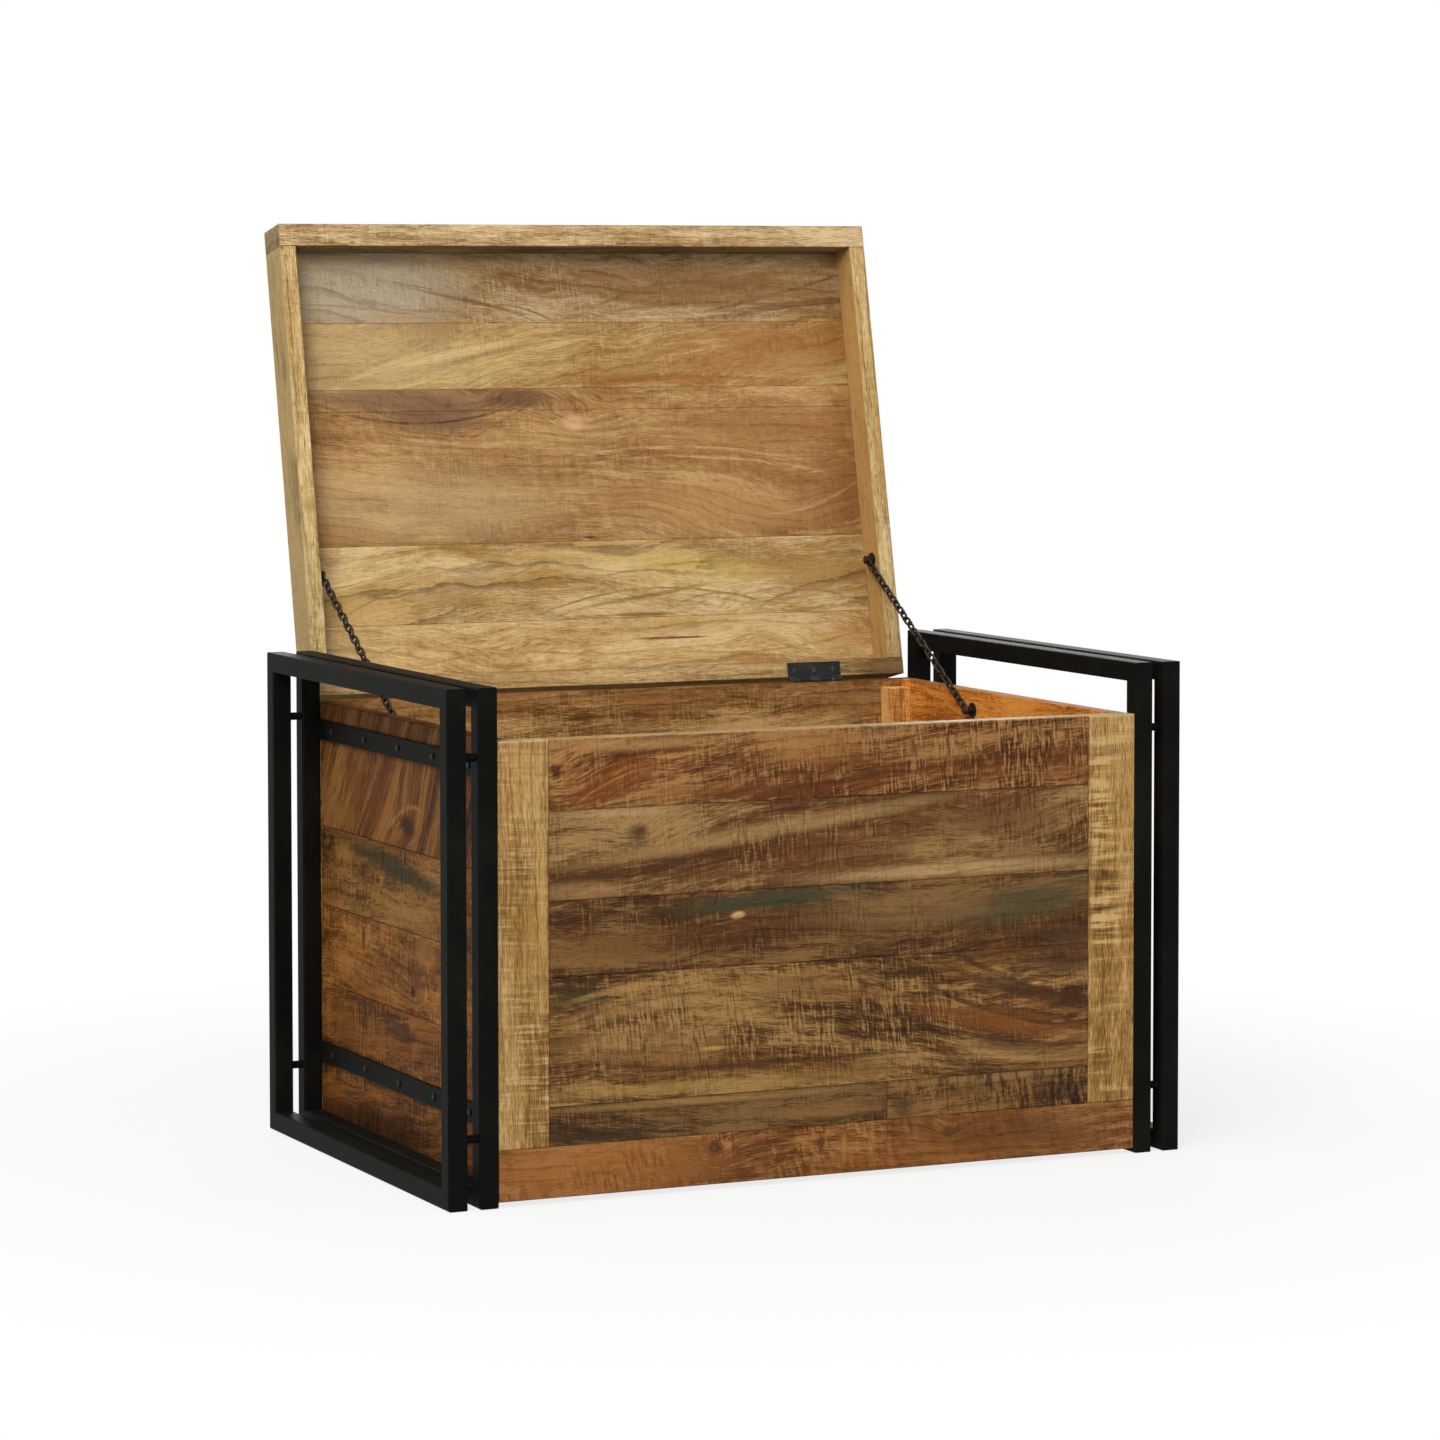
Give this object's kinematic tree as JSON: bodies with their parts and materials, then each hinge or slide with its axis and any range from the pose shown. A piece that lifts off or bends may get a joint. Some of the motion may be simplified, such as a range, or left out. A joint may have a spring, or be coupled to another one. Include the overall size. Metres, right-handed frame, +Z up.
{
  "type": "trunk chest",
  "caption": "Lift-lid storage trunk of reclaimed planks, carried between doubled black square-tube side frames, with butt hinges and stay chains.",
  "frame": {"origin": "on the floor, under the middle of the box that the trunk fills with its lid open", "axes": "+X to the viewer's right, -Y out of the front, +Z up"},
  "size_m": [0.8, 0.6631, 0.9469],
  "materials": {
    "black_steel": "satin black, lightly worn",
    "blackened_iron": "blackened, worn bright on the knuckles",
    "lid_rim_wood": "waxed honey brown",
    "lid_plank_wood": "waxed reclaimed planks, mixed browns",
    "front_frame_wood": "waxed straw brown, saw-marked",
    "front_plank_wood": "waxed reclaimed planks, saw-marked",
    "side_wood": "waxed reclaimed planks, reddish brown",
    "inside_wood": "waxed brown"
  },
  "bodies": {
    "box": {"back_planks": "inside_wood", "bar_screws": "black_steel", "bottom_panel": "inside_wood", "chain_screws_box": "blackened_iron", "corner_posts": "inside_wood", "frame_standoffs": "black_steel", "front_base_rail": "front_frame_wood", "front_left_stile": "front_frame_wood", "front_plank_1": "front_plank_wood", "front_plank_2": "front_plank_wood", "front_plank_3": "front_plank_wood", "front_plank_4": "front_plank_wood", "front_plank_5_left": "front_plank_wood", "front_plank_5_right": "front_plank_wood", "front_right_stile": "front_frame_wood", "hinge_screws_box": "blackened_iron", "left_hinge_box_leaf": "blackened_iron", "left_hinge_pin": "blackened_iron", "left_inner_back_post": "black_steel", "left_inner_bottom_rail": "black_steel", "left_inner_front_post": "black_steel", "left_inner_top_rail": "black_steel", "left_lower_bar": "black_steel", "left_outer_back_post": "black_steel", "left_outer_bottom_rail": "black_steel", "left_outer_front_post": "black_steel", "left_outer_top_rail": "black_steel", "left_side_planks": "side_wood", "left_upper_bar": "black_steel", "right_hinge_box_leaf": "blackened_iron", "right_hinge_pin": "blackened_iron", "right_inner_back_post": "black_steel", "right_inner_bottom_rail": "black_steel", "right_inner_front_post": "black_steel", "right_inner_top_rail": "black_steel", "right_lower_bar": "black_steel", "right_outer_back_post": "black_steel", "right_outer_bottom_rail": "black_steel", "right_outer_front_post": "black_steel", "right_outer_top_rail": "black_steel", "right_side_planks": "side_wood", "right_upper_bar": "black_steel"},
    "lid": {"chain_screws_lid": "blackened_iron", "hinge_screws_lid": "blackened_iron", "left_hinge_lid_leaf": "blackened_iron", "lid_front_rail": "lid_rim_wood", "lid_left_stile": "lid_rim_wood", "lid_plank_1": "lid_plank_wood", "lid_plank_2": "lid_plank_wood", "lid_plank_3": "lid_plank_wood", "lid_plank_4": "lid_plank_wood", "lid_plank_5": "lid_plank_wood", "lid_plank_6": "lid_plank_wood", "lid_rear_rail": "lid_rim_wood", "lid_right_stile": "lid_rim_wood", "right_hinge_lid_leaf": "blackened_iron"},
    "left_chain_lower": {"left_chain_lower": "blackened_iron"},
    "left_chain_upper": {"left_chain_upper": "blackened_iron"},
    "right_chain_lower": {"right_chain_lower": "blackened_iron"},
    "right_chain_upper": {"right_chain_upper": "blackened_iron"}
  },
  "joints": [
    {"name": "lid_hinge", "type": "hinge", "parent": "box", "child": "lid", "pos_m": [0, 0.1803, 0.4483], "axis": [1, 0, 0], "range_deg": [0, 102]},
    {"name": "left_lower_chain_swing", "type": "hinge", "parent": "box", "child": "left_chain_lower", "pos_m": [-0.322, -0.0126, 0.427], "axis": [1, 0, 0], "range_deg": [-133, 1]},
    {"name": "left_upper_chain_swing", "type": "hinge", "parent": "lid", "child": "left_chain_upper", "pos_m": [-0.322, 0.22437, 0.57582], "axis": [1, 0, 0], "range_deg": [-35, 1]},
    {"name": "right_lower_chain_swing", "type": "hinge", "parent": "box", "child": "right_chain_lower", "pos_m": [0.322, -0.0126, 0.427], "axis": [1, 0, 0], "range_deg": [-133, 1]},
    {"name": "right_upper_chain_swing", "type": "hinge", "parent": "lid", "child": "right_chain_upper", "pos_m": [0.322, 0.22437, 0.57582], "axis": [1, 0, 0], "range_deg": [-35, 1]}
  ],
  "couplings": [
    {"joint": "left_lower_chain_swing", "follows": "lid_hinge", "ratio": -1.2954},
    {"joint": "left_upper_chain_swing", "follows": "lid_hinge", "ratio": -0.3346},
    {"joint": "right_lower_chain_swing", "follows": "lid_hinge", "ratio": -1.2954},
    {"joint": "right_upper_chain_swing", "follows": "lid_hinge", "ratio": -0.3346}
  ]
}
